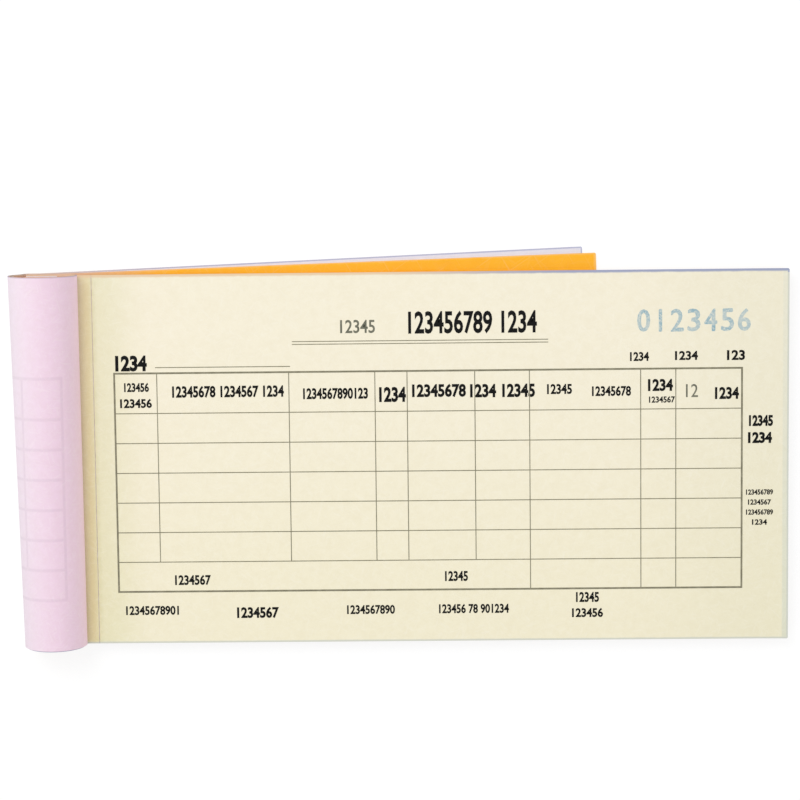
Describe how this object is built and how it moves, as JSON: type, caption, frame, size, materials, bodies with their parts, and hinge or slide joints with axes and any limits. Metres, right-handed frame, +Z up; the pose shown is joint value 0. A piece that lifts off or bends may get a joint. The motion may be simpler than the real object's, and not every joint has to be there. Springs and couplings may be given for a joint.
{
  "type": "triplicate form book",
  "caption": "Stapled pad of carbonless white, pink and yellow form sheets in an orange card cover, lying open with its first leaves turned back round the spine in a roll.",
  "frame": {"origin": "middle of the closed book's outline on the table, on the flat underside of the lowest turned leaf", "axes": "+X from the spine to the fore-edge, +Y from the foot of the page to its head, +Z up from the table through the pages"},
  "size_m": [0.1784, 0.091, 0.0167],
  "materials": {
    "orange_card": "smooth dyed card",
    "white_paper": "matt copying paper",
    "pink_paper": "matt copying paper",
    "yellow_paper": "matt copying paper",
    "mixed_paper": "cut edges of white, pink and yellow sheets",
    "staple_wire": "flat galvanised wire",
    "binding_glue": "dried padding glue",
    "print_ink": "matt printing ink"
  },
  "bodies": {
    "book": {"cover_wrap": "orange_card", "white_01_roll": "white_paper", "pink_01_roll": "pink_paper", "yellow_01_stub": "yellow_paper", "white_02_stub": "white_paper", "pink_02_stub": "pink_paper", "yellow_02_stub": "yellow_paper", "set_03": "mixed_paper", "set_04": "mixed_paper", "set_05": "mixed_paper", "set_06": "mixed_paper", "set_07": "mixed_paper", "set_08": "mixed_paper", "set_09": "mixed_paper", "set_10": "mixed_paper", "set_11": "mixed_paper", "set_12": "mixed_paper", "set_13": "mixed_paper", "set_14": "mixed_paper", "set_15": "mixed_paper", "set_16": "mixed_paper", "set_17": "mixed_paper", "set_18": "mixed_paper", "set_19": "mixed_paper", "set_20": "mixed_paper", "spine_glue": "binding_glue", "staple_head": "staple_wire", "staple_foot": "staple_wire"},
    "turned_tails": {"cover_tail": "orange_card", "white_01_tail": "white_paper", "pink_01_tail": "pink_paper"},
    "yellow_02": {"yellow_02_leaf": "yellow_paper"},
    "pink_02": {"pink_02_leaf": "pink_paper"},
    "white_02": {"white_02_leaf": "white_paper"},
    "yellow_01": {"yellow_01_leaf": "yellow_paper", "printed_table": "print_ink"}
  },
  "joints": [
    {"name": "tails_swing", "type": "hinge", "parent": "book", "child": "turned_tails", "pos_m": [-0.0845, 0, 0], "axis": [0, 1, 0], "range_deg": [0, 90]},
    {"name": "yellow_02_lift", "type": "hinge", "parent": "book", "child": "yellow_02", "pos_m": [-0.0722, 0, 0.005], "axis": [0, -1, 0], "range_deg": [0, 15]},
    {"name": "pink_02_lift", "type": "hinge", "parent": "yellow_02", "child": "pink_02", "pos_m": [-0.0722, 0, 0.00507], "axis": [0, -1, 0], "range_deg": [0, 15]},
    {"name": "white_02_lift", "type": "hinge", "parent": "pink_02", "child": "white_02", "pos_m": [-0.0722, 0, 0.00515], "axis": [0, -1, 0], "range_deg": [0, 15]},
    {"name": "yellow_01_lift", "type": "hinge", "parent": "white_02", "child": "yellow_01", "pos_m": [-0.0722, 0, 0.00522], "axis": [0, -1, 0], "range_deg": [0, 70]}
  ]
}
